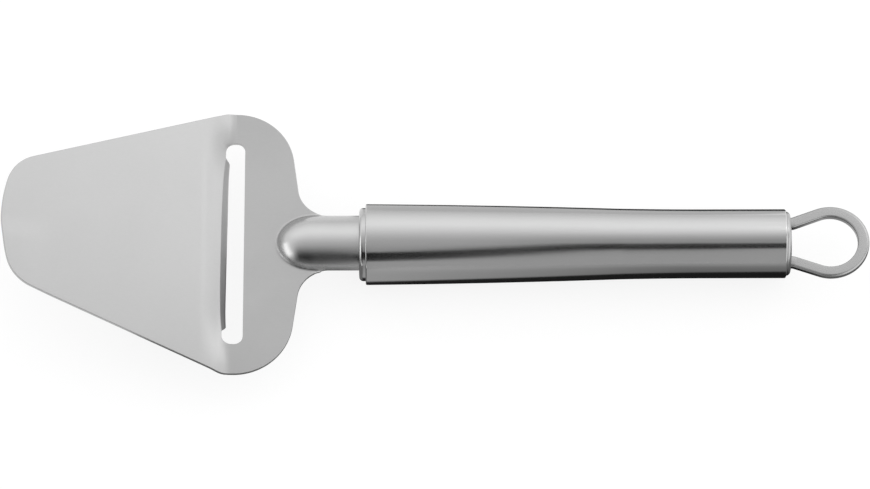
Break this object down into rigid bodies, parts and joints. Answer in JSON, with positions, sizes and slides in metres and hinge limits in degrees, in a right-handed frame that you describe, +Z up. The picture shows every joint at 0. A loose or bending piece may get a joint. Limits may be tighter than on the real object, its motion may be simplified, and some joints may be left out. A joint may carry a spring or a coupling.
{
  "type": "cheese slicer",
  "caption": "Steel cheese slicer: a bent sheet blade with a slot and a ground cutting lip, a hollow round tapering handle and a fixed wire loop to hang it by.",
  "frame": {"origin": "bottom centre of the whole tool as it lies on its handle with the blade level from side to side", "axes": "+X runs along the handle from the blade towards the hanging loop, +Z up on the side where the slices come off, +Y across the blade"},
  "size_m": [0.239, 0.0774, 0.0322],
  "materials": {
    "blade_steel": "fine matt grain, as from a belt, with a bright ground bevel at the cutting edge",
    "cap_steel": "drawn and lightly polished",
    "handle_steel": "brushed along its length to a satin shine",
    "loop_steel": "flat wire, tumbled, with soft edges",
    "weld_steel": "weld bead, as laid"
  },
  "bodies": {
    "root": {"blade": "blade_steel", "front_cap": "cap_steel", "handle_tube": "handle_steel", "rear_cap": "cap_steel", "hanging_loop": "loop_steel", "neck_weld": "weld_steel", "front_cap_weld": "weld_steel", "rear_cap_weld": "weld_steel", "loop_welds": "weld_steel"}
  },
  "joints": []
}
